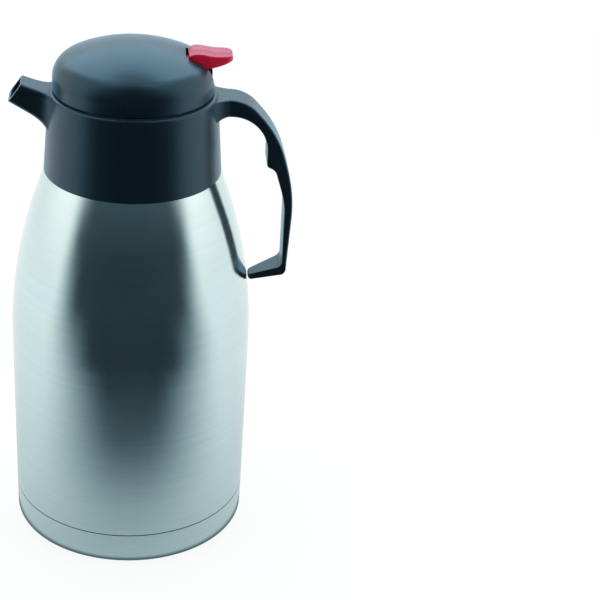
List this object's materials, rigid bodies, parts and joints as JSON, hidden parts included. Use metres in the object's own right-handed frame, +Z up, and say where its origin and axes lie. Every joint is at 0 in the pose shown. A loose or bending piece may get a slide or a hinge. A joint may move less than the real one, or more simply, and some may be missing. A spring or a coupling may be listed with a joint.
{
  "type": "vacuum jug",
  "caption": "Double-wall steel vacuum jug with a lift-off screw lid, a thumb lever that opens its pouring valve, a spout and a loop handle.",
  "frame": {"origin": "centre of the standing ring under the base, on the jug's axis", "axes": "+Z up along the jug's axis, +X towards the handle, -X towards the spout"},
  "size_m": [0.1548, 0.134, 0.2882],
  "materials": {
    "brushed_steel": "fine brushed stainless steel, brushing around the axis",
    "plain_steel": "satin stainless steel",
    "braze": "dull solidified brazing metal",
    "getter_metal": "dull sintered metal",
    "black_plastic": "satin black polypropylene with a fine moulded grain",
    "stopper_plastic": "satin black polypropylene",
    "valve_plastic": "satin dark grey polypropylene",
    "red_plastic": "glossy red moulded plastic",
    "pale_silicone": "milky translucent silicone",
    "white_silicone": "white silicone",
    "black_rubber": "black sealing rubber",
    "pin_steel": "ground stainless rod",
    "spring_steel": "drawn stainless spring wire"
  },
  "bodies": {
    "jug": {"outer_shell": "brushed_steel", "base_cup": "brushed_steel", "jacket_base": "plain_steel", "exhaust_seal": "braze", "inner_flask": "plain_steel", "flask_cup": "plain_steel", "getter_cup": "getter_metal", "neck_gasket": "white_silicone", "collar": "black_plastic", "handle": "black_plastic"},
    "lid_seal": {"stopper_gasket": "pale_silicone"},
    "lid": {"stopper": "stopper_plastic", "lid_dome": "black_plastic", "lever_pin": "pin_steel", "stem_o_ring": "black_rubber", "return_spring": "spring_steel"},
    "thumb_lever": {"lever": "red_plastic"},
    "valve": {"valve_stem": "pin_steel", "stem_cap": "valve_plastic", "valve_plate": "valve_plastic", "valve_gasket": "white_silicone"}
  },
  "joints": [
    {"name": "lid_lift", "type": "slide", "parent": "jug", "child": "lid_seal", "axis": [0, 0, 1], "range_m": [0, 0.075]},
    {"name": "lid_turn", "type": "hinge", "parent": "lid_seal", "child": "lid", "pos_m": [0, 0, 0.2415], "axis": [0, 0, 1], "range_deg": [0, 90]},
    {"name": "lever_press", "type": "hinge", "parent": "lid", "child": "thumb_lever", "pos_m": [-0.028, 0, 0.2735], "axis": [0, 1, 0], "range_deg": [0, 5.5], "stiffness_Nm_per_rad": 1.6, "springref_deg": -6.88},
    {"name": "valve_travel", "type": "slide", "parent": "lid", "child": "valve", "axis": [0, 0, -1], "range_m": [0, 0.0027], "deforming": ["return_spring"]}
  ],
  "couplings": [
    {"joint": "valve_travel", "follows": "lever_press", "m_per_rad": 0.028}
  ]
}
